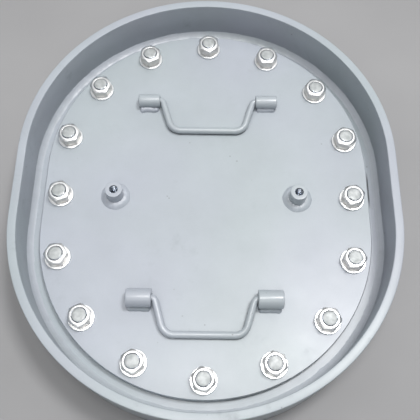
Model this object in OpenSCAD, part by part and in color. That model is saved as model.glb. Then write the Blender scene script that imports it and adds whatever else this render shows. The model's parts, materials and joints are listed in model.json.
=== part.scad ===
// Oval bolted manhole: a blind cover plate held down by nuts on studs, sunk inside a welded coaming.
// X runs across the short way, Y along the long way, and Z up from the coaming's lower edge.
// The origin is the centre of the coaming's lower edge. All sizes are in millimetres.

/* [Opening] */
// Clear opening across the short way
opening_w = 350; // [320:10:420]
// Clear opening along the long way
opening_l = 450; // [430:10:560]

/* [Coaming] */
// Height of the coaming bar
coaming_h = 100; // [95:1:180]
// Thickness of the coaming bar
coaming_t = 12; // [8:1:16]
// Edge break on the coaming bar
coaming_edge = 1; // [0.5:0.1:2]

/* [Seat ring] */
// Width of the seat ring, from the clear opening out to the coaming
seat_w = 85; // [80:1:100]
// Thickness of the seat ring
seat_t = 16; // [14:1:20]
// Height of the seat ring's underside above the coaming's lower edge
seat_z = 17; // [14:1:30]
// Leg of the fillet welds between seat ring and coaming, along the seat
seat_weld_w = 9; // [5:0.5:10]
// Leg of the same welds up the coaming
seat_weld_h = 7; // [5:0.5:9]

/* [Cover] */
// Cover overlap beyond the clear opening
cover_overlap = 65; // [58:1:70]
// Thickness of the cover plate
cover_t = 10; // [8:1:12]
// Edge break on the cover plate
cover_edge = 1; // [0.5:0.1:2]
// Thickness of the gasket under the cover
gasket_t = 5; // [3:0.5:6]
// Gap from the cover's edge in to the gasket's edge
gasket_inset = 3; // [1:0.5:6]

/* [Fasteners] */
// Number of studs, equally spaced along the bolt line
stud_count = 16; // [12:4:20]
// Distance of the bolt line outside the clear opening
bolt_offset = 40; // [36:1:44]
// Stud thread diameter
stud_d = 20; // [16:2:20]
// Height of the stud end above the nut
stud_proud = 1; // [0:0.5:6]
// Nut width across flats
nut_af = 30; // [27:1:32]
// Nut height
nut_h = 16; // [14:1:20]
// Washer outer diameter
washer_d = 37; // [34:1:40]
// Washer thickness
washer_t = 3; // [2:0.5:4]
// Clearance holes through cover and gasket
cover_hole_d = 22; // [21:0.5:24]

/* [Handles] */
// Diameter of the handle bar
bar_d = 10; // [8:1:12]
// Distance from the middle of a grip to the corner that its bend rounds off
grip_half = 55; // [50:1:60]
// Distance from the upper handle's hinge line to the middle of its grip
upper_reach = 50; // [46:1:60]
// Distance of the upper handle's hinge line from the middle of the cover
upper_y = 160; // [150:1:165]
// Clear distance between the upper handle's sleeves
upper_gap = 149; // [144:1:160]
// Outer diameter of the upper handle's sleeves
upper_sleeve_d = 20; // [18:1:22]
// Length of the upper handle's sleeves
upper_sleeve_l = 33; // [26:1:40]
// Distance from the lower handle's hinge line to the middle of its grip
lower_reach = 49; // [46:1:60]
// Distance of the lower handle's hinge line from the middle of the cover
lower_y = 157; // [150:1:165]
// Clear distance between the lower handle's sleeves
lower_gap = 146; // [144:1:160]
// Outer diameter of the lower handle's sleeves
lower_sleeve_d = 26; // [22:1:28]
// Length of the lower handle's sleeves
lower_sleeve_l = 35; // [28:1:42]

/* [Bosses] */
// Distance of each boss from the middle of the cover
boss_x = 134.5; // [110:0.5:140]
// Outer diameter of a boss
boss_d = 25; // [22:1:30]
// Height of a boss
boss_h = 25; // [22:1:35]
// Diameter of the threaded hole at the thread's crest
boss_bore_d = 10.2; // [8.5:0.1:14]
// Depth of the threaded hole
boss_bore_depth = 20; // [15:1:21]
// Leg of the fillet weld around a boss
boss_weld = 9.5; // [6:0.5:10]

/* [Hidden] */
$fn = 96;

eps = 0.01;          // overlap that makes neighbouring solids of one piece join
running = 0.05;      // radial clearance of a running fit

// Oval outlines: two half circles joined by straight sides along Y.
opening_r = opening_w / 2;
straight = opening_l - opening_w;
coaming_ri = opening_r + seat_w;
coaming_ro = coaming_ri + coaming_t;
cover_r = opening_r + cover_overlap;
bolt_r = opening_r + bolt_offset;
gasket_ro = cover_r - gasket_inset;
gasket_ri = opening_r + gasket_inset;

// Levels, from the coaming's lower edge up.
seat_top = seat_z + seat_t;
cover_z = seat_top + gasket_t;
cover_top = cover_z + cover_t;
washer_top = cover_top + washer_t;
nut_top = washer_top + nut_h;
stud_top = nut_top + stud_proud;

// Studs and nuts.
stud_chamfer = 1;
stud_weld_leg = 5;
bore_r = stud_d / 2 + running;
nut_face_d = 0.92 * nut_af;      // circle where the top chamfer meets the flat end face
nut_sink = 1;                    // countersink at each end of the nut's bore
nut_corner_r = nut_af / sqrt(3);
nut_chamfer_h = (nut_corner_r - nut_face_d / 2) * tan(30);
// Angle at which a corner of each nut stopped when it was tightened, clockwise from the top stud.
nut_turns = [37, 0, 50, 44, 12, 59, 55, 40, 44, 35, 28, 2, 20, 14, 3, 25];

// Handle bar.
corner_inset = 4;                // distance from a sleeve to the corner that the bend beside it rounds off
bend_top_r = 7;
bend_low_r = 18;
pin_inset = 4;                   // distance of the bar's end inside the sleeve's outer end
rest_gap = 0.3;                  // gap between the resting grip and the cover plate
leg_lap = 0.8;                   // length by which a leg runs on into the bend at each of its ends
leg_skin = 0.15;                 // extra radius of a leg, so that it covers the start of each bend
sleeve_chamfer = 1.5;
sleeve_mouth = 2.5;              // flare of the bore at the sleeve's inner end

// ---- Outline helpers ----

// Flat oval with half circles of radius r.
module oval(r) {
    for (end = [-1, 1]) translate([0, end * straight / 2]) circle(r = r);
    square([2 * r, straight], center = true);
}

// Child profile, drawn in (distance from the oval's axis, height), carried round the oval.
module oval_sweep() {
    for (turn = [0, 180]) rotate(turn) {
        translate([0, straight / 2]) rotate_extrude(angle = 180) children();
        translate([0, straight / 2]) rotate([90, 0, 0]) linear_extrude(straight) children();
    }
}

// Place and outward direction at distance s along the oval of radius r, clockwise from the top.
function oval_place(r, s) =
    let (quarter = PI * r / 2, side = quarter + straight, low = side + 2 * quarter, left = low + straight)
    s < quarter ? on_arc(r, 1, deg(s / r))
    : s < side ? [r, straight / 2 - (s - quarter), 0]
    : s < low ? on_arc(r, -1, deg((s - straight) / r))
    : s < left ? [-r, s - low - straight / 2, 180]
    : on_arc(r, 1, deg((s - 2 * straight) / r));
function on_arc(r, end, a) = [r * sin(a), end * straight / 2 + r * cos(a), 90 - a];
function deg(radians) = radians * 180 / PI;

// Children placed at every stud, with $i as the stud's number.
module at_studs() {
    pitch = (2 * PI * bolt_r + 2 * straight) / stud_count;
    for ($i = [0 : stud_count - 1]) {
        place = oval_place(bolt_r, $i * pitch);
        translate([place[0], place[1], 0]) children();
    }
}

// Rectangle whose four corners are cut by c.
module chamfered_rect(low, high, c) {
    polygon([[low[0] + c, low[1]], [high[0] - c, low[1]], [high[0], low[1] + c], [high[0], high[1] - c],
             [high[0] - c, high[1]], [low[0] + c, high[1]], [low[0], high[1] - c], [low[0], low[1] + c]]);
}

// ---- Fixed ring ----

module coaming_ring() {
    color("lightsteelblue")
    oval_sweep() chamfered_rect([coaming_ri, 0], [coaming_ro, coaming_h], coaming_edge);
}

module seat_ring() {
    color("lightsteelblue")
    difference() {
        translate([0, 0, seat_z]) linear_extrude(seat_t) difference() {
            oval(coaming_ri);
            oval(opening_r);
        }
        translate([0, 0, seat_z - 1]) at_studs() cylinder(r = bore_r, h = seat_t + 2);
    }
}

// Fillet weld in the corner between seat and coaming: side = 1 above the seat, -1 below it.
module seat_weld(side) {
    face = side > 0 ? seat_top : seat_z;
    oval_sweep() polygon([
        [coaming_ri, face],
        [coaming_ri - seat_weld_w, face],
        [coaming_ri - 0.45 * seat_weld_w, face + side * 0.62 * seat_weld_h],
        [coaming_ri, face + side * seat_weld_h]]);
}

module seat_weld_top() { color("lightsteelblue") seat_weld(1); }
module seat_weld_bottom() { color("lightsteelblue") seat_weld(-1); }

module gasket() {
    color("dimgray")
    difference() {
        translate([0, 0, seat_top]) linear_extrude(gasket_t) difference() {
            oval(gasket_ro);
            oval(gasket_ri);
        }
        translate([0, 0, seat_top - 1]) at_studs() cylinder(d = cover_hole_d, h = gasket_t + 2);
    }
}

// ---- Fasteners ----

module studs() {
    color("gainsboro")
    at_studs() {
        translate([0, 0, seat_z]) cylinder(d = stud_d, h = stud_top - stud_chamfer - seat_z);
        translate([0, 0, stud_top - stud_chamfer])
            cylinder(d1 = stud_d, d2 = stud_d - 2 * stud_chamfer, h = stud_chamfer);
    }
}

module stud_welds() {
    color("lightsteelblue")
    at_studs() translate([0, 0, seat_z - stud_weld_leg]) difference() {
        cylinder(r1 = bore_r - 1, r2 = bore_r + stud_weld_leg, h = stud_weld_leg);
        translate([0, 0, -1]) cylinder(r = bore_r - 2, h = 2);
    }
}

module washers() {
    color("white")
    at_studs() translate([0, 0, cover_top]) difference() {
        cylinder(d = washer_d, h = washer_t);
        translate([0, 0, -1]) cylinder(d = stud_d + 1, h = washer_t + 2);
    }
}

module nuts() {
    color("silver")
    at_studs() translate([0, 0, washer_top]) rotate(nut_turns[$i % len(nut_turns)]) nut();
}

// One hexagon nut with both ends chamfered and its bore countersunk.
module nut() {
    difference() {
        intersection() {
            cylinder(r = nut_corner_r, h = nut_h, $fn = 6);
            rotate_extrude() polygon([
                [0, 0], [nut_face_d / 2, 0], [nut_corner_r, nut_chamfer_h],
                [nut_corner_r, nut_h - nut_chamfer_h], [nut_face_d / 2, nut_h], [0, nut_h]]);
        }
        translate([0, 0, -1]) cylinder(r = bore_r, h = nut_h + 2);
        translate([0, 0, nut_h]) mirror([0, 0, 1]) countersink();
        countersink();
    }
}

// Cone that opens one end of a nut's bore, wide end down.
module countersink() {
    translate([0, 0, -eps]) cylinder(r1 = bore_r + nut_sink + eps, r2 = bore_r, h = nut_sink + eps);
}

// ---- Cover ----

module cover_plate() {
    color("lightblue")
    difference() {
        union() {
            translate([0, 0, cover_z]) linear_extrude(cover_t) oval(cover_r - cover_edge);
            oval_sweep() polygon([
                [cover_r - 2 * cover_edge, cover_z], [cover_r - cover_edge, cover_z],
                [cover_r, cover_z + cover_edge], [cover_r, cover_top - cover_edge],
                [cover_r - cover_edge, cover_top], [cover_r - 2 * cover_edge, cover_top]]);
        }
        translate([0, 0, cover_z - 1]) at_studs() cylinder(d = cover_hole_d, h = cover_t + 2);
    }
}

// Child placed so that its x = 0 is the inner end of a sleeve: side = 1 right, -1 left.
module at_sleeve(side, y, gap) {
    translate([side * gap / 2, y, cover_top]) mirror([side > 0 ? 0 : 1, 0, 0]) children();
}

module at_upper(side) { at_sleeve(side, upper_y, upper_gap) children(); }
module at_lower(side) { at_sleeve(side, -lower_y, lower_gap) children(); }

// Tube that holds one end of a handle, lying on the cover along +X, flared at its inner end.
module sleeve(d, l) {
    color("lightsteelblue")
    translate([0, 0, d / 2]) rotate([90, 0, 90]) rotate_extrude() polygon([
        [bar_d / 2 + running + sleeve_mouth, 0], [d / 2 - sleeve_chamfer, 0], [d / 2, sleeve_chamfer],
        [d / 2, l - sleeve_chamfer], [d / 2 - sleeve_chamfer, l], [bar_d / 2 + running, l],
        [bar_d / 2 + running, sleeve_mouth]]);
}

module upper_left_sleeve() { at_upper(-1) sleeve(upper_sleeve_d, upper_sleeve_l); }
module upper_right_sleeve() { at_upper(1) sleeve(upper_sleeve_d, upper_sleeve_l); }
module lower_left_sleeve() { at_lower(-1) sleeve(lower_sleeve_d, lower_sleeve_l); }
module lower_right_sleeve() { at_lower(1) sleeve(lower_sleeve_d, lower_sleeve_l); }

// The two fillet beads that hold a sleeve of diameter d to the cover, along both of its sides.
module sleeve_weld(d, l) {
    foot = 0.62 * d;
    rise = 0.3 * d;
    color("lightsteelblue")
    difference() {
        for (side = [-1, 1]) translate([sleeve_chamfer, 0, 0]) rotate([90, 0, 90])
            linear_extrude(l - 2 * sleeve_chamfer) polygon([
                [side * 0.1 * d, 0], [side * foot, 0], [side * 0.6 * d, 0.5 * rise],
                [side * 0.53 * d, 0.9 * rise], [side * 0.46 * d, rise], [side * 0.1 * d, rise]]);
        translate([-1, 0, d / 2]) rotate([0, 90, 0]) cylinder(d = d, h = l + 2);
    }
}

module upper_left_sleeve_weld() { at_upper(-1) sleeve_weld(upper_sleeve_d, upper_sleeve_l); }
module upper_right_sleeve_weld() { at_upper(1) sleeve_weld(upper_sleeve_d, upper_sleeve_l); }
module lower_left_sleeve_weld() { at_lower(-1) sleeve_weld(lower_sleeve_d, lower_sleeve_l); }
module lower_right_sleeve_weld() { at_lower(1) sleeve_weld(lower_sleeve_d, lower_sleeve_l); }

// Straight bar from a to b, both in the XY plane.
module bar(a, b, d = bar_d) {
    way = b - a;
    translate([a[0], a[1], 0]) rotate([0, 90, atan2(way[1], way[0])]) cylinder(d = d, h = norm(way));
}

// Bent bar that turns left by angle, from its start at p heading along direction, round radius r.
module bend(p, direction, r, angle) {
    translate([p[0], p[1], 0]) rotate(direction) translate([0, r, 0]) rotate(-90)
        rotate_extrude(angle = angle) translate([r, 0]) circle(d = bar_d);
}

// One side of a handle, from the middle of the grip to its pin; the hinge line is the X axis.
module half_handle(gap, reach, pin_end) {
    corner_top = [gap / 2 - corner_inset, 0];
    corner_low = [grip_half, -reach];
    leg = corner_low - corner_top;
    leg_angle = atan2(-leg[1], -leg[0]);      // turn from the grip's line to the leg
    low_cut = bend_low_r * tan(leg_angle / 2);
    top_cut = bend_top_r * tan(leg_angle / 2);
    up = [cos(leg_angle), sin(leg_angle)];
    low_start = corner_low - [low_cut, 0];
    pin_start = corner_top + [top_cut, 0];
    bar([0, corner_low[1]], low_start);
    bend(low_start, 0, bend_low_r, leg_angle);
    bar(corner_low + (low_cut - leg_lap) * up, corner_top - (top_cut - leg_lap) * up, bar_d + 2 * leg_skin);
    bend(pin_start, 180, bend_top_r, leg_angle);
    bar(pin_start, [pin_end, 0]);
}

// A whole handle in sleeves of the given size, resting on the cover towards -Y.
module handle(y, gap, reach, d, l) {
    droop = asin((d / 2 - bar_d / 2 - rest_gap) / reach);
    pin_end = gap / 2 + l - pin_inset;
    color("lightsteelblue")
    translate([0, y, cover_top + d / 2]) rotate([droop, 0, 0]) for (side = [0, 1])
        mirror([side, 0, 0]) half_handle(gap, reach, pin_end);
}

module upper_handle() { handle(upper_y, upper_gap, upper_reach, upper_sleeve_d, upper_sleeve_l); }
module lower_handle() { handle(-lower_y, lower_gap, lower_reach, lower_sleeve_d, lower_sleeve_l); }

// ---- Bosses ----

// Round boss with a blind threaded hole; the hole's mouth is countersunk to the thread's root.
module boss(x) {
    boss_edge = 0.8;
    mouth = 1.2;
    drill_point = 118;                       // included angle of the drill that made the hole
    drill_tip = boss_bore_d / 2 / tan(drill_point / 2);
    color("lightsteelblue")
    translate([x, 0, cover_top]) rotate_extrude() polygon([
        [0, 0], [boss_d / 2, 0], [boss_d / 2, boss_h - boss_edge], [boss_d / 2 - boss_edge, boss_h],
        [boss_bore_d / 2 + mouth, boss_h], [boss_bore_d / 2, boss_h - mouth],
        [boss_bore_d / 2, boss_h - boss_bore_depth], [0, boss_h - boss_bore_depth - drill_tip]]);
}

// Fillet weld round the foot of a boss.
module boss_weld(x) {
    color("lightsteelblue")
    translate([x, 0, cover_top]) rotate_extrude() polygon([
        [boss_d / 2, 0], [boss_d / 2 + boss_weld, 0],
        [boss_d / 2 + 0.45 * boss_weld, 0.32 * boss_weld], [boss_d / 2, 0.5 * boss_weld]]);
}

module left_boss() { boss(-boss_x); }
module right_boss() { boss(boss_x); }
module left_boss_weld() { boss_weld(-boss_x); }
module right_boss_weld() { boss_weld(boss_x); }

coaming_ring();
seat_ring();
seat_weld_top();
seat_weld_bottom();
gasket();
studs();
stud_welds();
cover_plate();
washers();
nuts();
upper_left_sleeve();
upper_right_sleeve();
lower_left_sleeve();
lower_right_sleeve();
upper_left_sleeve_weld();
upper_right_sleeve_weld();
lower_left_sleeve_weld();
lower_right_sleeve_weld();
upper_handle();
lower_handle();
left_boss();
right_boss();
left_boss_weld();
right_boss_weld();
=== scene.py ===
"""Looks of the oval bolted manhole: painted coaming and cover, bright fasteners, weld beads and studio.

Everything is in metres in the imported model's frame: +X across the oval, +Y along it, +Z up.
"""
import json
import math
import random

import bmesh
import bpy
import numpy as np
from mathutils import Matrix, Vector


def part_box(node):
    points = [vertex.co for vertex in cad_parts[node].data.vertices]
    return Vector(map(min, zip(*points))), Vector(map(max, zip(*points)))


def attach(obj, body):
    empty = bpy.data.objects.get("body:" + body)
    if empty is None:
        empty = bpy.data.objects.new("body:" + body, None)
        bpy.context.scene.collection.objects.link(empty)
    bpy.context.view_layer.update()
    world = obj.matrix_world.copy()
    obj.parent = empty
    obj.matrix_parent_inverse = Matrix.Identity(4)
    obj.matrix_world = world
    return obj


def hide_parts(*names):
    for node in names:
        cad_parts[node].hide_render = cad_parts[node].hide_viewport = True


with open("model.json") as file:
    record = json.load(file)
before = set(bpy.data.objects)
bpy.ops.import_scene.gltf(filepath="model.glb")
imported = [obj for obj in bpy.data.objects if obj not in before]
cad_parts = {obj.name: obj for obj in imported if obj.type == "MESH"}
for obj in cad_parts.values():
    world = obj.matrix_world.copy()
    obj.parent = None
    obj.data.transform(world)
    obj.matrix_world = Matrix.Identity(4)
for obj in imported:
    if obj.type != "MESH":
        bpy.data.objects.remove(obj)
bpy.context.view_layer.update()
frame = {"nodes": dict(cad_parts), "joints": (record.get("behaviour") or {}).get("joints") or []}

MM = 0.001
TAU = 2 * math.pi

# ---------------------------------------------------------------- sizes read from the frame


def size(node):
    """The lowest and the highest corner of a CAD node's box."""
    low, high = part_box(node)
    return np.array(low), np.array(high)


cover_high = size("cover_plate")[1]
coaming_high = size("coaming_ring")[1]
seat_low, seat_high = size("seat_ring")
COVER_R = cover_high[0]                       # radius of the cover's round ends
COVER_TOP = cover_high[2]
HALF_SIDE = cover_high[1] - cover_high[0]     # half the length of the oval's straight sides
COAMING_RO = coaming_high[0]
COAMING_RI = seat_high[0]
RIM = coaming_high[2]
SEAT_TOP = seat_high[2]
SEAT_UNDER = seat_low[2]


def solids(node):
    """The separate solids of a CAD node, each as an array of its vertices."""
    mesh = frame["nodes"][node].data
    count = len(mesh.vertices)
    points = np.zeros(count * 3, np.float32)
    mesh.vertices.foreach_get("co", points)
    points = points.reshape(-1, 3)
    parent = np.arange(count)

    def root(i):
        while parent[i] != i:
            parent[i] = parent[parent[i]]
            i = parent[i]
        return i

    places = {}
    for i, place in enumerate(np.round(points * 1e6).astype(int)):
        parent[i] = root(places.setdefault(tuple(place), i))
    for edge in mesh.edges:
        parent[root(edge.vertices[0])] = root(edge.vertices[1])
    groups = {}
    for i in range(count):
        groups.setdefault(root(i), []).append(i)
    return [points[group].astype(float) for group in groups.values()]


def extent(points):
    """The lowest corner, the highest corner and the middle of some points."""
    low, high = points.min(0), points.max(0)
    return low, high, (low + high) / 2


# ---------------------------------------------------------------- mesh helpers


class Builder:
    """Collects grids of points into one mesh object."""

    def __init__(self):
        self.points, self.faces, self.rings, self.marks = [], [], [], []

    def grid(self, points, close_u=False, close_v=False, cap_u=False, rings=None, mark=0):
        """Adds a (u, v, 3) array of points; faces join neighbours, and wrap where closed.

        cap_u closes the first and the last row. rings holds each point's distance from the axis that it was
        turned about. mark is the material's number, one for all faces or one for each step along v.
        """
        points = np.asarray(points, float)
        nu, nv = points.shape[:2]
        marks = mark if hasattr(mark, "__len__") else [mark] * nv
        base = len(self.points)
        self.points.extend(points.reshape(-1, 3))
        self.rings.extend(np.zeros(nu * nv) if rings is None else np.asarray(rings, float).ravel())
        for i in range(nu if close_u else nu - 1):
            row, next_row = base + i * nv, base + (i + 1) % nu * nv
            for j in range(nv if close_v else nv - 1):
                k = (j + 1) % nv
                self.faces.append((row + j, next_row + j, next_row + k, row + k))
                self.marks.append(marks[j])
        if cap_u:
            self.faces.append(tuple(base + j for j in range(nv)))
            self.faces.append(tuple(base + (nu - 1) * nv + j for j in reversed(range(nv))))
            self.marks += [marks[0], marks[0]]

    def make(self, name, body, node, smooth_below=38.0):
        """An object on a body, for a CAD node; edges blunter than smooth_below degrees are smooth."""
        mesh = bpy.data.meshes.new(name)
        mesh.from_pydata([tuple(point) for point in self.points], [], self.faces)
        mesh.validate()
        ring = mesh.attributes.new("ring", "FLOAT", "POINT")
        ring.data.foreach_set("value", np.asarray(self.rings, np.float32))
        mesh.polygons.foreach_set("material_index", np.asarray(self.marks, np.int32))
        work = bmesh.new()
        work.from_mesh(mesh)
        bmesh.ops.remove_doubles(work, verts=work.verts, dist=0.002 * MM)
        bmesh.ops.recalc_face_normals(work, faces=work.faces)
        work.to_mesh(mesh)
        work.free()
        mesh.polygons.foreach_set("use_smooth", [True] * len(mesh.polygons))
        mesh.set_sharp_from_angle(angle=math.radians(smooth_below))
        obj = bpy.data.objects.new(name, mesh)
        bpy.context.scene.collection.objects.link(obj)
        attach(obj, body)
        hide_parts(node)
        return obj


def corner_arc(before, corner, after, radius, steps):
    """The steps + 1 points of the arc that rounds off a corner between its two neighbours."""
    back, ahead = before - corner, after - corner
    back, ahead = back / np.linalg.norm(back), ahead / np.linalg.norm(ahead)
    half = math.acos(max(-1.0, min(1.0, float(back @ ahead)))) / 2
    cut = radius / math.tan(half)
    middle = (back + ahead) / np.linalg.norm(back + ahead)
    centre = corner + middle * radius / math.sin(half)
    start, end = corner + back * cut - centre, corner + ahead * cut - centre
    turn = math.atan2(start[0] * end[1] - start[1] * end[0], float(start @ end))
    arc = []
    for a in np.linspace(0, turn, steps + 1):
        spin = np.array([[math.cos(a), -math.sin(a)], [math.sin(a), math.cos(a)]])
        arc.append(centre + spin @ start)
    return arc


def rounded(corners, radii, steps):
    """A line through corners, closed or not, with each of them rounded off; a corner of radius 0 stays."""
    corners = [np.array(corner, float) for corner in corners]
    line = []
    for i, radius in enumerate(radii):
        if radius > 0:
            line += corner_arc(corners[i - 1], corners[i], corners[(i + 1) % len(corners)], radius, steps)
        else:
            line.append(corners[i])
    return np.array(line)


def oval_path(radius, spacing):
    """Points and outward directions round the oval at that radius; spacing is the length of a step."""
    arc_steps = int(math.pi * radius / spacing)
    side_steps = int(2 * HALF_SIDE / spacing)
    points, outs = [], []
    for end in (1, -1):
        for k in range(arc_steps + 1):
            angle = math.pi * k / arc_steps + (0 if end > 0 else math.pi)
            out = np.array([math.cos(angle), math.sin(angle), 0.0])
            points.append(radius * out + [0, end * HALF_SIDE, 0])
            outs.append(out)
        first, last = points[-1], points[-1] - [0, end * 2 * HALF_SIDE, 0]
        for k in range(1, side_steps):
            points.append(first + (last - first) * k / side_steps)
            outs.append(out)
    return np.array(points), np.array(outs)


def circle(count):
    """Angles that divide a full turn."""
    return TAU * np.arange(count) / count


def around(angles, radii, levels, centre=(0, 0)):
    """Points about the vertical through centre; radii and levels are one row, or a row for each angle."""
    radii, levels = np.broadcast_arrays(radii, levels)
    return np.stack([np.cos(angles)[:, None] * radii + centre[0],
                     np.sin(angles)[:, None] * radii + centre[1], levels], axis=2)


def lathe(builder, outline, centre, segments, mark=0, turn=None, closed=True):
    """Turns an outline of (radius, height) about the vertical through centre; turn tilts that axis."""
    radii, levels = np.asarray(outline, float).T
    grid = around(circle(segments), np.tile(radii, (segments, 1)), levels)
    if turn is not None:
        grid = grid @ turn.T
    rings = np.tile(radii, (segments, 1))
    builder.grid(grid + np.array(centre), close_u=True, close_v=closed, rings=rings, mark=mark)


def thread_wave(heights, angles, pitch):
    """A wave from 0 to 1 that climbs one pitch per turn, with a row for each angle."""
    return np.abs(((heights[None, :] / pitch - angles[:, None] / TAU) % 1.0) - 0.5) * 2


def join_thread(before, thread, heights, after):
    """Radii and levels of a thread's rows with plain (radius, height) steps before and after it."""
    before, after = np.array(before), np.array(after)
    turns = (len(thread), 1)
    radii = np.hstack([np.tile(before[:, 0], turns), thread, np.tile(after[:, 0], turns)])
    return radii, np.concatenate([before[:, 1], heights, after[:, 1]])


# ---------------------------------------------------------------- weld beads

# Waves as (length, height): along a bead's toes, and in how far its face bulges.
TOE_WAVES = [(62 * MM, 0.30 * MM), (27 * MM, 0.28 * MM), (11 * MM, 0.20 * MM)]
CROWN_WAVES = [(34 * MM, 1.0), (15 * MM, 0.7)]


def smooth_noise(s, period, waves, seed):
    """Smooth noise along s that repeats after period: each wave is drawn as three of nearly its length."""
    share = 0.6             # height of each of the three
    rng = random.Random(seed)
    total = np.zeros_like(s)
    for length, height in waves:
        middle_count = max(1, round(period / length))
        for k in (-1, 0, 1):
            count = max(1, middle_count + k * max(1, middle_count // 4))
            total += height * share * np.sin(TAU * count * s / period + rng.uniform(0, TAU))
    return total


def bead(builder, corner, out, up, along, legs, pitch, seed, ripple, wander, crown, closed=True):
    """A hand-laid fillet weld, with arrays that have an entry for each point along its seam.

    corner is the inside corner, out the direction along the plate away from it, up the direction up the
    wall and along the length so far. legs are (plate, wall), pitch and ripple the length and the height
    of a ripple, wander how unsteady the toes are and crown how far the face bulges, as a share of the
    plate leg.
    """
    face_points = 13                        # across the face, from toe to toe
    root_depth = 0.2 * MM
    bow = 0.9                               # how far a ripple's middle trails its ends, in pitches
    end_length, end_share = 3.5 * MM, 0.15  # an open seam's ends taper to that share of the section
    open_period = 1.37                      # an open seam's noise repeats only past its end
    unsteady = 0.10 * wander
    period = 2 * along[-1] - along[-2] if closed else open_period * along[-1]
    toe_plate = legs[0] + wander * smooth_noise(along, period, TOE_WAVES, seed)
    toe_wall = legs[1] + wander * smooth_noise(along, period, TOE_WAVES, seed + 1)
    height = 1 + unsteady * smooth_noise(along, period, CROWN_WAVES, seed + 2)
    lean = math.atan2(legs[0], legs[1])
    grid = np.zeros((len(corner), face_points + 1, 3))
    for j, t in enumerate(np.linspace(0, 1, face_points)):
        arch = math.sin(math.pi * t)
        swirl = along / pitch - bow * (1 - (2 * t - 1) ** 2)
        scallop = np.abs((swirl % 1.0) - 0.5) * 2
        lift = crown * legs[0] * arch * height + ripple * (scallop ** 1.5 - 0.5) * math.sqrt(max(0.0, arch))
        outward = toe_plate * (1 - t) + lift * math.cos(lean)
        upward = toe_wall * t + lift * math.sin(lean)
        grid[:, j] = corner + outward[:, None] * out + upward[:, None] * up
    grid[:, -1] = corner - root_depth * (out + up)
    if not closed:
        from_end = np.clip(np.minimum(along, along[-1] - along) / end_length, 0, 1)
        keep = np.maximum(end_share, np.sqrt(1 - (1 - from_end) ** 2))
        grid[:, :-1] = corner[:, None] + (grid[:, :-1] - corner[:, None]) * keep[:, None, None]
    builder.grid(grid, close_u=closed, close_v=True, cap_u=not closed)


# ---------------------------------------------------------------- fixed ring


def make_coaming():
    """Flat bar rolled to the oval, with its four edges rounded."""
    edge, spacing = 1.3 * MM, 4 * MM
    corners = [(COAMING_RI, 0), (COAMING_RO, 0), (COAMING_RO, RIM), (COAMING_RI, RIM)]
    outline = rounded(corners, [edge] * 4, 5)
    path, outs = oval_path(COVER_R, spacing)
    grid = path[:, None, :] + (outline[None, :, :1] - COVER_R) * outs[:, None, :]
    grid[:, :, 2] = outline[None, :, 1]
    b = Builder()
    b.grid(grid, close_u=True, close_v=True)
    return b.make("coaming_bar", "coaming", "coaming_ring")


def seat_bead(name, node, level, up_sign, seed):
    """The slightly hollow fillet between seat ring and coaming; up_sign is 1 above the ring, -1 below."""
    plate_leg, wall_share = 8.55 * MM, 0.92
    path, outs = oval_path(COAMING_RI, 0.8 * MM)
    corner = path.copy()
    corner[:, 2] = level
    up = np.tile([0.0, 0.0, float(up_sign)], (len(path), 1))
    steps = np.linalg.norm(np.diff(path, axis=0), axis=1)
    along = np.concatenate([[0], np.cumsum(steps)])
    low, high = size(node)
    legs = (plate_leg, wall_share * (high[2] - low[2]))
    b = Builder()
    bead(b, corner, -outs, up, along, legs, pitch=4.2 * MM, seed=seed,
         ripple=0.05 * MM, wander=0.9, crown=-0.09)
    return b.make(name, "coaming", node)


def make_stud(b, points):
    """A rod with a rolled thread above the seat ring, chamfered at its end."""
    low, high, centre = extent(points)
    axis, sides = (centre[0], centre[1], 0), 44
    radius = (high[0] - low[0]) / 2
    pitch, depth, rows_per_pitch = 2.5 * MM, 1.45 * MM, 6
    least = 0.35            # share of the thread's depth that is left at the chamfer
    chamfer, foot_chamfer, tip = 0.5 * MM, 0.6 * MM, 0.02 * MM
    start, top = SEAT_TOP - 2 * MM, high[2]
    heights = np.arange(start, top - chamfer, pitch / rows_per_pitch)
    angles = circle(sides)
    groove = np.clip(1.25 * thread_wave(heights, angles, pitch) - 0.12, 0, 1)
    run_in = np.clip((heights - start) / pitch, 0, 1)
    run_out = np.clip((top - chamfer - heights) / (0.5 * pitch), least, 1)
    foot = (radius - foot_chamfer, low[2])
    below = [foot, (radius, low[2] + foot_chamfer)]
    above = [(radius - 0.15 * MM, top - chamfer), (radius - chamfer + 0.15 * MM, top - 0.2 * MM),
             (radius - chamfer, top - 0.1 * MM)]
    radii, levels = join_thread(below, radius - depth * groove * run_in * run_out, heights, above)
    b.grid(around(angles, radii, levels, centre), close_u=True, rings=radii)
    face = [above[-1], (0.6 * radius, top - 0.05 * MM), (0.3 * radius, top - 0.02 * MM), (tip, top)]
    lathe(b, face, axis, sides, mark=1, closed=False)
    lathe(b, [(tip, low[2]), foot], axis, sides, closed=False)


def make_studs():
    b = Builder()
    for points in solids("studs"):
        make_stud(b, points)
    return b.make("threaded_studs", "coaming", "studs", 50)


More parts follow.
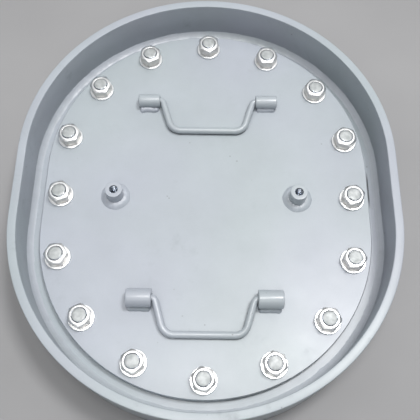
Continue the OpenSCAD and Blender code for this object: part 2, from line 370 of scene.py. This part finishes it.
def make_stud_cap(b, points, k):
    """A seal weld at a stud's foot: a low dome under the seat ring with a spiral of ripples."""
    low, high, centre = extent(points)
    sides, rows, ripple = 48, 16, 0.25 * MM
    radius, height = (high[0] - low[0]) / 2, 0.86 * (high[2] - low[2])
    angles = circle(sides)[:, None]
    shares = np.linspace(0, 1, rows)
    wobble = 1 + 0.03 * np.sin(3 * angles + k) + 0.02 * np.sin(7 * angles + 2 * k)
    swirl = (4 * shares + angles / TAU + 0.13 * k) % 1.0
    dome = high[2] - height * np.sin(np.minimum(1.0, 1.5 * shares) * math.pi / 2)
    levels = np.minimum(dome - ripple * np.abs(swirl - 0.5) * (shares > 0.2), high[2])
    first = len(b.points)
    b.grid(around(angles[:, 0], radius * (1 - 0.96 * shares) * wobble, levels, centre), close_u=True)
    b.faces.append(tuple(first + i * rows + rows - 1 for i in range(sides)))
    b.marks.append(0)


def make_stud_caps():
    b = Builder()
    for k, points in enumerate(solids("stud_welds")):
        make_stud_cap(b, points, k)
    return b.make("stud_seal_welds", "coaming", "stud_welds")


# ---------------------------------------------------------------- fasteners


def make_nut(b, points):
    """A hexagon nut with 30 degree chamfers, softened corners and a countersunk bore."""
    low, high, centre = extent(points)
    offsets = points[:, :2] - centre[:2]
    distances = np.linalg.norm(offsets, axis=1)
    corner_r, bore = distances.max(), distances.min()
    flat_r = corner_r * math.cos(math.pi / 6)
    face_r = 0.885 * flat_r                 # where the chamfer starts on a face
    height = high[2] - low[2]
    sink, soft, blend = 1.0 * MM, 0.25 * MM, 0.30 * MM
    near, corner_cut, steps_per_side = 0.05 * MM, 0.35 * MM, 22

    # The hexagon's own turn, from its corners, then its outline smoothly cut back to a round bar at them.
    corners = offsets[distances > corner_r - near]
    turn = np.angle(np.mean(np.exp(6j * np.arctan2(corners[:, 1], corners[:, 0])))) / 6
    angles = circle(6 * steps_per_side)
    hexagon = flat_r / np.cos((angles - turn) % (math.pi / 3) - math.pi / 6)
    bar = corner_r - corner_cut
    outer = -blend * np.log(np.exp(-hexagon / blend) + np.exp(-bar / blend)) + 0.02 * MM
    outer = np.minimum(outer, hexagon)

    slope = math.tan(math.pi / 6)
    drop = (outer - face_r) * slope
    # Mark 1, on the flats and in the bore, is a darker steel: partly a rolled finish, partly painted shade
    # on the nut's sides.
    bright, rolled = 0, 1
    rows = [(bore, sink, rolled),
            (bore + sink, 0, bright),
            (face_r - soft, 0, bright),
            (face_r + 0.8 * soft, 0.5 * soft, bright),
            (outer - soft, drop - soft * slope, bright),
            (outer, drop + soft, rolled),
            (outer, drop + 2 * soft, rolled),
            (outer, height / 2, rolled),
            (outer, height - drop - 2 * soft, rolled),
            (outer, height - drop - soft, bright),
            (outer - soft, height - drop + soft * slope, bright),
            (face_r + 0.8 * soft, height - 0.5 * soft, bright),
            (face_r - soft, height, bright),
            (bore + sink + soft, height, bright),
            (bore + sink - soft, height - soft, rolled),
            (bore, height - sink, rolled)]
    radii = np.column_stack([np.broadcast_to(radius, angles.shape) for radius, _, _ in rows])
    levels = np.column_stack([np.broadcast_to(level, angles.shape) for _, level, _ in rows]) + low[2]
    grid = around(angles, radii, levels, centre)
    b.grid(grid, close_u=True, close_v=True, rings=radii, mark=[steel for _, _, steel in rows])


def make_nuts():
    b = Builder()
    for points in solids("nuts"):
        make_nut(b, points)
    return b.make("hexagon_nuts", "nuts", "nuts", 24)


def make_washers():
    """Stamped washers: their upper outer edge is the roundest."""
    b = Builder()
    edges = [0.3 * MM, 0.4 * MM, 0.7 * MM, 0.4 * MM]
    for points in solids("washers"):
        low, high, centre = extent(points)
        outer = (high[0] - low[0]) / 2
        inner = np.linalg.norm(points[:, :2] - centre[:2], axis=1).min()
        corners = [(inner, low[2]), (outer, low[2]), (outer, high[2]), (inner, high[2])]
        lathe(b, rounded(corners, edges, 4), (centre[0], centre[1], 0), 96)
    return b.make("flat_washers", "washers", "washers", 24)


# ---------------------------------------------------------------- handles and their sleeves

BAR_R = 5 * MM
GRIP_HALF = 55 * MM                     # from the middle of a grip to the corner that its bend rounds off
CORNER_INSET = 4 * MM                   # from a sleeve to the corner beside it
BEND_TOP, BEND_LOW = 7 * MM, 18 * MM    # radii of the bends beside the sleeves and beside the grip


def bar_line(leg_top, reach, pin_end):
    """Centre line of a bail in its own plane, with the hinge line along X and the grip at y = -reach."""
    longest_step = 3 * MM
    corners = [(-pin_end, 0), (-leg_top, 0), (-GRIP_HALF, -reach),
               (GRIP_HALF, -reach), (leg_top, 0), (pin_end, 0)]
    points = rounded(corners, [0, BEND_TOP, BEND_LOW, BEND_LOW, BEND_TOP, 0], 16)
    line = [points[0]]
    for start, end in zip(points, points[1:]):
        steps = max(1, int(np.linalg.norm(end - start) / longest_step))
        line += [start + (end - start) * k / steps for k in range(1, steps + 1)]
    return np.array(line)


def make_handle(side):
    """A bail bent from round bar, lying back on the cover plate."""
    joint = next(j for j in frame["joints"] if j["name"] == side + "_handle_swing")
    hinge = np.array(joint["pos_m"])
    low, high = size(side + "_handle")
    drop = hinge - low - BAR_R
    reach = math.hypot(drop[1], drop[2])
    droop = math.atan2(drop[2], drop[1])
    leg_top = size(side + "_right_sleeve")[0][0] - CORNER_INSET
    line = bar_line(leg_top, reach, high[0])
    steps = np.diff(line, axis=0)
    tangents = np.vstack([steps[:1], (steps[:-1] + steps[1:]) / 2, steps[-1:]])
    tangents /= np.linalg.norm(tangents, axis=1)[:, None]
    normals = np.column_stack([-tangents[:, 1], tangents[:, 0]])
    angles = circle(28)
    grid = np.zeros((len(line), len(angles), 3))
    for j, angle in enumerate(angles):
        grid[:, j, :2] = line + normals * BAR_R * math.cos(angle)
        grid[:, j, 2] = BAR_R * math.sin(angle)
    c, s = math.cos(droop), math.sin(droop)
    tilt = np.array([[1, 0, 0], [0, c, -s], [0, s, c]])
    b = Builder()
    b.grid(grid @ tilt.T + hinge, close_v=True, cap_u=True)
    return b.make(side + "_bail", joint["child"], side + "_handle")


def make_sleeve(name, node):
    """A tube piece with rounded ends; its bore is countersunk on the side where the bail comes out."""
    low, high = size(node)
    centre = (low + high) / 2
    radius, length = (high[2] - low[2]) / 2, high[0] - low[0]
    bore, mouth = BAR_R + 0.05 * MM, 2.5 * MM
    corners = [(bore + mouth, 0), (radius, 0), (radius, length), (bore, length), (bore, mouth)]
    edges = [0.4 * MM, 1.6 * MM, 2.0 * MM, 0.8 * MM, 0.5 * MM]
    side = 1 if centre[0] > 0 else -1
    inner_end = low[0] if side > 0 else high[0]
    turn = np.array([[0, 0, side], [0, 1, 0], [-side, 0, 0]])
    b = Builder()
    lathe(b, rounded(corners, edges, 6), (inner_end, centre[1], centre[2]), 72, turn=turn)
    return b.make(name, "cover", node, 30)


def make_sleeve_weld(name, node, sleeve, seed, spread):
    """A convex bead along each side of a sleeve; spread is how much wider the -Y and +Y beads are."""
    low, high = size(sleeve)
    middle, diameter = (low[1] + high[1]) / 2, high[2] - low[2]
    weld_low, weld_high = size(node)
    count = 72
    foot_share, plate_share, wall_share = 0.44, 0.18, 0.29      # of the sleeve's diameter
    xs = np.linspace(weld_low[0], weld_high[0], count)
    up = np.tile([0.0, 0.0, 1.0], (count, 1))
    b = Builder()
    for k, side in enumerate((-1, 1)):
        foot = middle + side * foot_share * diameter
        corner = np.column_stack([xs, np.full(count, foot), np.full(count, COVER_TOP)])
        out = np.tile([0.0, float(side), 0.0], (count, 1))
        legs = (plate_share * diameter * spread[k], wall_share * diameter)
        wander = spread[k] - 0.2        # the wider a bead, the less steady
        bead(b, corner[::side], out, up, xs - xs[0], legs, pitch=3.2 * MM, seed=seed + 7 * k,
             ripple=0.12 * MM, wander=wander, crown=0.32, closed=False)
    return b.make(name, "cover", node)


# ---------------------------------------------------------------- bosses


def make_boss(name, node):
    """Round boss with a real internal thread; the thread's crest is the CAD bore."""
    low, high = size(node)
    centre = (low + high) / 2
    radius, height = (high[0] - low[0]) / 2, high[2] - low[2]
    crest, root, pitch, rows_per_pitch = 5.1 * MM, 5.95 * MM, 1.75 * MM, 14
    depth, mouth, run_in_length = 20 * MM, 1.2 * MM, 0.5 * MM
    first_row, tip = 0.05 * MM, 0.05 * MM           # the thread's first row under the mouth; the cone's end
    cone = crest * math.tan(math.radians(31))       # height of the cone that a 118 degree drill leaves
    corners = [(radius / 2, 0), (radius, 0), (radius, height),
               (crest + mouth, height), (crest, height - mouth)]
    outside = rounded(corners, [0, 0.2 * MM, 0.9 * MM, 0.25 * MM, 0], 5)
    angles = circle(96)
    heights = height - mouth - np.arange(first_row, depth - mouth, pitch / rows_per_pitch)
    groove = np.clip(1.8 * thread_wave(heights, angles, pitch) - 0.4, 0, 1)
    run_in = np.clip((height - mouth - heights) / run_in_length, 0, 1)
    floor = [(crest, height - depth), (tip, height - depth - cone)]
    radii, levels = join_thread(outside, crest + (root - crest) * groove * run_in, heights, floor)
    grid = around(angles, radii, levels + low[2], centre)
    painted = len(outside) - 1
    b = Builder()
    b.grid(grid[:, :painted], close_u=True, rings=radii[:, :painted])
    b.grid(grid[:, painted - 1:], close_u=True, rings=radii[:, painted - 1:], mark=1)
    return b.make(name, "cover", node, 40)


def make_boss_weld(name, node, boss, seed):
    """The fillet round a boss's foot, a little inside its CAD box."""
    low, high = size(boss)
    centre, radius = (low + high) / 2, (high[0] - low[0]) / 2
    weld_low, weld_high = size(node)
    count, fill = 150, 0.97
    plate_leg, wall_leg = (weld_high[0] - weld_low[0]) / 2 - radius, weld_high[2] - weld_low[2]
    angles = circle(count)
    out = np.column_stack([np.cos(angles), np.sin(angles), np.zeros(count)])
    corner = np.array([centre[0], centre[1], COVER_TOP]) + radius * out
    up = np.tile([0.0, 0.0, 1.0], (count, 1))
    along = angles * (radius + plate_leg / 2)
    b = Builder()
    bead(b, corner, out, up, along, (plate_leg * fill, wall_leg * fill), pitch=3.4 * MM, seed=seed,
         ripple=0.06 * MM, wander=0.8, crown=0.12)
    return b.make(name, "cover", node)


# ---------------------------------------------------------------- materials


def colour(r, g, b):
    """A linear colour from the 0 to 255 values that a screen shows."""
    def linear(v):
        v /= 255
        return v / 12.92 if v <= 0.04045 else ((v + 0.055) / 1.055) ** 2.4
    return (linear(r), linear(g), linear(b), 1.0)


STAIN, SPECK = colour(118, 122, 128), colour(96, 96, 98)
# Painted shade colours: one for corners and crevices, one for the gap along the cover's edge.
CORNER_SHADE, GAP_SHADOW = colour(78, 82, 88), colour(50, 53, 58)


class Surface:
    """A principled material, with short calls that add nodes; patterns follow the object's coordinates."""

    def __init__(self, name):
        self.material = bpy.data.materials.new(name)
        self.material.use_nodes = True
        self.tree = self.material.node_tree
        self.shader = self.tree.nodes["Principled BSDF"]
        self.place = self.add("ShaderNodeTexCoord").outputs["Object"]

    def feed(self, socket, value):
        if isinstance(value, bpy.types.NodeSocket):
            self.tree.links.new(value, socket)
        else:
            socket.default_value = value

    def add(self, kind, inputs=(), **settings):
        node = self.tree.nodes.new(kind)
        for key, value in settings.items():
            setattr(node, key, value)
        for key, value in dict(inputs).items():
            self.feed(node.inputs[key], value)
        return node

    def set(self, **inputs):
        for key, value in inputs.items():
            self.feed(self.shader.inputs[key.replace("_", " ")], value)

    def noise(self, scale, detail=3.0, rough=0.5, stretch=(1, 1, 1), shift=0.0):
        """Noise from about 0.3 to 0.7; scale is features per metre."""
        place = self.add("ShaderNodeMapping", {"Vector": self.place, "Scale": stretch,
                                               "Location": (shift, shift * 1.7, shift * 0.6)}).outputs[0]
        return self.add("ShaderNodeTexNoise", {"Vector": place, "Scale": scale, "Detail": detail,
                                               "Roughness": rough}).outputs["Fac"]

    def maths(self, operation, a, b=0.0):
        return self.add("ShaderNodeMath", {0: a, 1: b}, operation=operation).outputs[0]

    def times(self, first, *others):
        for other in others:
            first = self.maths("MULTIPLY", first, other)
        return first

    def remap(self, value, low, high, to_low=0.0, to_high=1.0):
        return self.add("ShaderNodeMapRange", {"Value": value, "From Min": low, "From Max": high,
                                               "To Min": to_low, "To Max": to_high}).outputs[0]

    def mix(self, share, a, b, blend="MIX"):
        """A colour mix; the node takes its factor at 0 and colours at 6 and 7, and gives the result at 2."""
        node = self.add("ShaderNodeMix", {0: share, 6: a, 7: b}, data_type="RGBA", blend_type=blend)
        return node.outputs[2]

    def bump(self, height, distance, before=None):
        node = self.add("ShaderNodeBump", {"Height": height, "Distance": distance, "Strength": 1.0})
        if before is not None:
            self.feed(node.inputs["Normal"], before)
        return node.outputs[0]

    def crevice(self, reach):
        """1 deep in a corner between pieces, 0 in the open; it masks the painted shade in corners."""
        node = self.add("ShaderNodeAmbientOcclusion", {"Distance": reach}, samples=6)
        return self.maths("SUBTRACT", 1.0, node.outputs["AO"])

    def oval_radius(self):
        """Distance from the oval's axis."""
        split = self.add("ShaderNodeSeparateXYZ", {0: self.place}).outputs
        past_side = self.maths("SUBTRACT", self.maths("ABSOLUTE", split[1]), HALF_SIDE)
        beyond = self.maths("MAXIMUM", past_side, 0.0)
        squares = self.maths("ADD", self.times(split[0], split[0]), self.times(beyond, beyond))
        return self.maths("SQRT", squares)

    def edge_line(self, inner, outer, middle, half):
        """1 on the +X side between two distances from the oval's axis, within half of middle along Y."""
        radius = self.oval_radius()
        split = self.add("ShaderNodeSeparateXYZ", {0: self.place}).outputs
        past_inner = self.remap(radius, inner - 0.3 * MM, inner + 0.1 * MM)
        before_outer = self.remap(radius, outer - 0.1 * MM, outer + 0.3 * MM, 1.0, 0.0)
        offset = self.maths("ABSOLUTE", self.maths("SUBTRACT", split[1], middle))
        stretch = self.remap(offset, half, half + 16 * MM, 1.0, 0.0)
        right_side = self.remap(split[0], 15 * MM, 40 * MM)
        return self.times(past_inner, before_outer, stretch, right_side)

    def brush_strokes(self):
        """Faint stripes that follow the oval, where a brush went round it."""
        stripes = self.add("ShaderNodeTexNoise", {"W": self.oval_radius(), "Scale": 520.0, "Detail": 3.0},
                           noise_dimensions="1D").outputs["Fac"]
        return self.remap(self.mix(0.35, stripes, self.noise(140.0)), 0.36, 0.64, 0.965, 1.022)


def paint(name, colours, stain, rough, seed, lines=(), brushed=False, coat=(0.26, 0.25)):
    """Rolled marine paint: drifting tints, soft patches, stains, specks, painted shade in corners and orange
    peel.

    colours are the base, a cool and a warm tint; coat is the clear coat's (weight, roughness). lines are
    painted shadow: dark lines on the +X side, each with edge_line's four values and its strength.
    """
    s = Surface(name)
    base, cool, warm = colours
    drift = s.remap(s.noise(4.0, detail=2.0, rough=0.4, shift=seed), 0.38, 0.62)
    shade = s.mix(0.45, s.mix(drift, cool, warm), base)

    patches = s.remap(s.noise(11.0, shift=seed + 3), 0.32, 0.68, 0.955, 1.02)
    mottle = s.remap(s.noise(55.0, detail=4.0, rough=0.6, shift=seed + 1), 0.3, 0.7, 0.985, 1.012)
    grain = s.remap(s.noise(420.0, rough=0.6, shift=seed), 0.3, 0.7, 0.988, 1.01)
    tone = s.times(patches, mottle, grain)
    if brushed:
        tone = s.times(tone, s.brush_strokes())
    shade = s.mix(1.0, shade, tone, "MULTIPLY")

    stains = s.times(s.remap(s.noise(17.0, detail=6.0, rough=0.66, shift=seed + 8), 0.60, 0.70),
                     s.remap(s.noise(120.0, rough=0.6), 0.35, 0.6))
    shade = s.mix(s.times(stains, stain), shade, STAIN)
    dots = s.add("ShaderNodeTexVoronoi", {"Vector": s.place, "Scale": 70.0, "Randomness": 1.0})
    chosen = s.remap(s.noise(29.0, detail=2.0, shift=seed + 5), 0.60, 0.63)
    specks = s.times(s.remap(dots.outputs["Distance"], 0.05, 0.11, 1.0, 0.0), chosen)
    shade = s.mix(s.times(specks, 0.55), shade, SPECK)
    # Painted shade: darker in corners and crevices where ambient occlusion is deep, broken up by noise.
    corner_shade = s.times(s.remap(s.crevice(5 * MM), 0.35, 0.85),
                    s.remap(s.noise(300.0, detail=4.0, rough=0.65), 0.3, 0.6, 0.45, 1.0))
    shade = s.mix(s.times(corner_shade, 0.6), shade, CORNER_SHADE)
    # Painted shadow: dark lines along the gap beside the cover's edge.
    for *where, strength in lines:
        shade = s.mix(s.times(s.edge_line(*where), strength), shade, GAP_SHADOW)

    peel = s.bump(s.noise(620.0, detail=2.0, shift=seed), 0.03 * MM)
    laps = s.bump(s.noise(80.0, rough=0.55, stretch=(0.5, 1.0, 1.0), shift=seed), 0.05 * MM, peel)
    waves = s.bump(s.noise(9.0, detail=1.0, rough=0.4, shift=seed + 2), 1.1 * MM, laps)
    sheen = s.remap(s.noise(30.0, detail=4.0, rough=0.6, shift=seed + 4), 0.3, 0.7,
                    rough - 0.04, rough + 0.06)
    s.set(Base_Color=shade, Roughness=s.maths("ADD", sheen, s.times(stains, 0.12)), Normal=waves)
    s.set(Specular_IOR_Level=0.4, Coat_Weight=coat[0], Coat_Roughness=coat[1])
    return s.material


def turned_steel(name, tint, dull, ring_height, rough):
    """Machined stainless steel: turned rings, fine scratches and a patchy, dull film left by handling.

    tint is the clean steel's colour and dull the film's; rough is the roughness of (clean steel, film).
    """
    s = Surface(name)
    ring = s.add("ShaderNodeAttribute", attribute_name="ring").outputs["Fac"]
    coarse = s.maths("SINE", s.times(ring, TAU / (0.32 * MM)))
    fine = s.maths("SINE", s.times(ring, TAU / (0.11 * MM)))
    rings = s.times(s.maths("ADD", s.times(coarse, 0.6), s.times(fine, 0.4)),
                    s.remap(s.noise(900.0, detail=2.0), 0.3, 0.7, 0.3, 1.0))
    scratches = s.noise(1500.0, rough=0.6, stretch=(1.0, 0.08, 1.0))
    relief = s.maths("ADD", s.times(rings, ring_height), s.times(scratches, 0.4))
    film = s.remap(s.noise(130.0, detail=4.0, rough=0.6), 0.38, 0.66)
    s.set(Base_Color=s.mix(film, tint, dull), Metallic=1.0, Roughness=s.remap(film, 0.0, 1.0, *rough),
          Normal=s.bump(relief, 0.012 * MM))
    return s.material


def rubber(name):
    """Black rubber with a patchy grey dust."""
    s = Surface(name)
    dust = s.remap(s.noise(160.0, detail=5.0, rough=0.7), 0.45, 0.7)
    shade = s.mix(s.times(dust, 0.35), colour(38, 38, 40), colour(98, 98, 98))
    s.set(Base_Color=shade, Roughness=0.78, Normal=s.bump(s.noise(700.0, rough=0.6), 0.06 * MM))
    return s.material


def plain_floor(name):
    s = Surface(name)
    tone = s.remap(s.noise(3.0), 0.3, 0.7)
    s.set(Base_Color=s.mix(tone, colour(148, 148, 150), colour(157, 157, 159)), Roughness=0.85)
    return s.material


def dress(obj, *materials):
    """Gives an object its materials; a CAD node's own slots are reused."""
    data = obj.data
    while len(data.materials) > len(materials):
        data.materials.pop()
    for k, material in enumerate(materials):
        if k < len(data.materials):
            data.materials[k] = material
        else:
            data.materials.append(material)


def soften(obj, width):
    """Blunts a CAD plate's cut edges with modifiers, so its own mesh stays as packed."""
    weld = obj.modifiers.new("join_facets", "WELD")
    weld.merge_threshold = 0.001 * MM
    bevel = obj.modifiers.new("blunt_edges", "BEVEL")
    bevel.width = width
    bevel.segments = 3
    bevel.limit_method = "ANGLE"
    bevel.angle_limit = math.radians(50)
    bevel.harden_normals = True


# ---------------------------------------------------------------- the object

# Painted shadow lines: the cover's lower right edge, the gap beside it on the seat and a short one on the
# seat's right, each as (inner, outer, middle, half, strength); see Surface.edge_line.
LOWER_RIGHT = (-180 * MM, 110 * MM)
cover_edge_shadow = (COVER_R - 1.0 * MM, COVER_R + 1.0 * MM, *LOWER_RIGHT, 0.35)
gap_shadow_line = (COVER_R - 1.0 * MM, COVER_R + 1.3 * MM, *LOWER_RIGHT, 0.40)
short_shadow_line = (COVER_R + 4.1 * MM, COVER_R + 5.9 * MM, 23 * MM, 16 * MM, 0.95)

cover_colours = (colour(173, 180, 187), colour(169, 179, 183), colour(173, 178, 190))
ring_colours = (colour(171, 178, 186), colour(165, 176, 181), colour(173, 177, 189))
# The seat beads' paint is the ring's paint made lighter: painted light on the beads' faces.
seam_lightened_colours = (colour(182, 188, 195), colour(177, 186, 191), colour(182, 187, 197))
weld_colours = (colour(172, 179, 187), colour(167, 177, 182), colour(173, 178, 190))
cover_paint = paint("cover_paint", cover_colours, stain=0.12, rough=0.40, seed=1.0, lines=[cover_edge_shadow])
fitting_paint = paint("fitting_paint", cover_colours, stain=0.12, rough=0.38, seed=1.0, coat=(0.60, 0.22))
ring_paint = paint("coaming_paint", ring_colours, stain=0.30, rough=0.42, seed=21.0)
seat_paint = paint("seat_paint", ring_colours, stain=0.30, rough=0.42, seed=21.0,
                   lines=[gap_shadow_line, short_shadow_line], brushed=True)
seam_lightened_paint = paint("seam_lightened_paint", seam_lightened_colours, stain=0.15, rough=0.40, seed=43.0, brushed=True)
weld_paint = paint("weld_paint", weld_colours, stain=0.15, rough=0.38, seed=43.0, brushed=True)
bright_steel = turned_steel("stainless", colour(243, 244, 245), colour(233, 234, 235),
                            ring_height=1.0, rough=(0.30, 0.42))
# Darker steel for the nuts' flats and bores: a rolled finish, made darker still as painted shade.
rolled_shaded_steel = turned_steel("rolled_stainless_shaded", colour(222, 219, 215), colour(204, 200, 195),
                            ring_height=0.6, rough=(0.32, 0.46))
sawn_steel = turned_steel("sawn_stud_end", colour(188, 191, 192), colour(176, 180, 181),
                          ring_height=1.4, rough=(0.60, 0.70))
thread_steel = turned_steel("tapped_steel", colour(214, 222, 234), colour(160, 168, 180),
                            ring_height=0.6, rough=(0.16, 0.30))
black_rubber = rubber("gasket_rubber")

dress(make_coaming(), ring_paint)
dress(seat_bead("upper_seat_bead", "seat_weld_top", SEAT_TOP, 1, seed=11), seam_lightened_paint)
dress(seat_bead("lower_seat_bead", "seat_weld_bottom", SEAT_UNDER, -1, seed=12), seam_lightened_paint)
dress(make_studs(), thread_steel, sawn_steel)
dress(make_stud_caps(), weld_paint)
dress(make_nuts(), bright_steel, rolled_shaded_steel)
dress(make_washers(), bright_steel)
for k, side in enumerate(("upper", "lower")):
    dress(make_handle(side), fitting_paint)
    for hand in ("left", "right"):
        sleeve = side + "_" + hand + "_sleeve"
        dress(make_sleeve(sleeve + "_tube", sleeve), fitting_paint)
        seed = 30 + 5 * k + len(hand)
        spread = (1.9, 1.0) if sleeve == "upper_left_sleeve" else (1.0, 1.0)
        dress(make_sleeve_weld(sleeve + "_bead", sleeve + "_weld", sleeve, seed, spread), weld_paint)
for k, hand in enumerate(("left", "right")):
    boss = hand + "_boss"
    dress(make_boss(hand + "_tapped_boss", boss), fitting_paint, thread_steel)
    dress(make_boss_weld(boss + "_bead", boss + "_weld", boss, 60 + k), weld_paint)

for node, material, edge in (("cover_plate", cover_paint, 0.7 * MM),
                             ("seat_ring", seat_paint, 0.5 * MM),
                             ("gasket", black_rubber, 0.3 * MM)):
    plate = frame["nodes"][node]
    dress(plate, material)
    soften(plate, edge)

# ---------------------------------------------------------------- studio


def soft_light(name, place, width, depth, watts, tint):
    """A rectangular softbox that faces the cover's middle."""
    data = bpy.data.lights.new(name, "AREA")
    data.shape = "RECTANGLE"
    data.size, data.size_y = width, depth
    data.energy = watts
    data.color = tint
    lamp = bpy.data.objects.new(name, data)
    lamp.location = place
    lamp.rotation_mode = "QUATERNION"
    lamp.rotation_quaternion = (Vector((0, 0, 50 * MM)) - Vector(place)).to_track_quat("-Z", "Y")
    bpy.context.scene.collection.objects.link(lamp)


def sky(low, high):
    """A cool grey dome that brightens from strength low to high on the way up."""
    dim_below, bright_above = 0.35, 0.90        # heights on a dome of radius 1
    world = bpy.data.worlds.new("studio_dome")
    world.use_nodes = True
    bpy.context.scene.world = world
    tree = world.node_tree
    back = tree.nodes["Background"]
    place = tree.nodes.new("ShaderNodeTexCoord")
    split = tree.nodes.new("ShaderNodeSeparateXYZ")
    ramp = tree.nodes.new("ShaderNodeMapRange")
    tree.links.new(place.outputs["Generated"], split.inputs[0])
    tree.links.new(split.outputs[2], ramp.inputs["Value"])
    ramp.inputs["From Min"].default_value = dim_below
    ramp.inputs["From Max"].default_value = bright_above
    ramp.inputs["To Min"].default_value = low
    ramp.inputs["To Max"].default_value = high
    tree.links.new(ramp.outputs[0], back.inputs["Strength"])
    back.inputs["Color"].default_value = (0.93, 0.97, 1.0, 1.0)


def floor_sheet():
    """A wide floor in square tiles, just under the coaming."""
    half, tiles, level = 12.0, 12, -0.5 * MM
    row = tiles + 1
    points = [(half * (2 * i / tiles - 1), half * (2 * j / tiles - 1), level)
              for i in range(row) for j in range(row)]
    faces = [(i * row + j, (i + 1) * row + j, (i + 1) * row + j + 1, i * row + j + 1)
             for i in range(tiles) for j in range(tiles)]
    mesh = bpy.data.meshes.new("floor")
    mesh.from_pydata(points, [], faces)
    floor = bpy.data.objects.new("floor", mesh)
    bpy.context.scene.collection.objects.link(floor)
    dress(floor, plain_floor("floor_grey"))


def turned(degrees, axis):
    return Matrix.Rotation(math.radians(degrees), 3, axis)


def add_camera():
    """The viewpoint above and to the -Y side of the cover, tilted to look back at its middle."""
    data = bpy.data.cameras.new("camera")
    data.sensor_width = 36.0
    data.lens = 54.40
    data.clip_start, data.clip_end = 0.05, 50.0
    camera = bpy.data.objects.new("camera", data)
    bpy.context.scene.collection.objects.link(camera)
    tilt = turned(-0.80, "Z") @ turned(0.10, "Y") @ turned(-22.90, "X")
    stand = Matrix.Translation((4 * MM, -383 * MM, COVER_TOP + 859 * MM))
    camera.matrix_world = stand @ tilt.transposed().to_4x4()
    bpy.context.scene.camera = camera


WHITE, WARM_WHITE = (1.0, 0.99, 0.97), (1.0, 0.985, 0.96)
sky(0.10, 0.30)
soft_light("key_softbox", (1.15, 0.55, 4.3), 0.9, 0.9, 98, (1.0, 0.99, 0.975))
soft_light("top_softbox", (-0.2, -0.2, 4.5), 1.0, 1.2, 64, WARM_WHITE)
soft_light("back_softbox", (0.1, 1.15, 2.3), 2.6, 1.6, 11, WHITE)
soft_light("front_softbox", (-0.1, -2.6, 3.7), 2.6, 1.6, 26, WARM_WHITE)
soft_light("left_softbox", (-2.4, 0.1, 2.9), 1.6, 2.4, 4, WARM_WHITE)
soft_light("low_softbox", (2.2, 2.8, 1.7), 5.0, 1.4, 18, WHITE)
floor_sheet()
add_camera()
bpy.context.scene.view_settings.view_transform = "Standard"
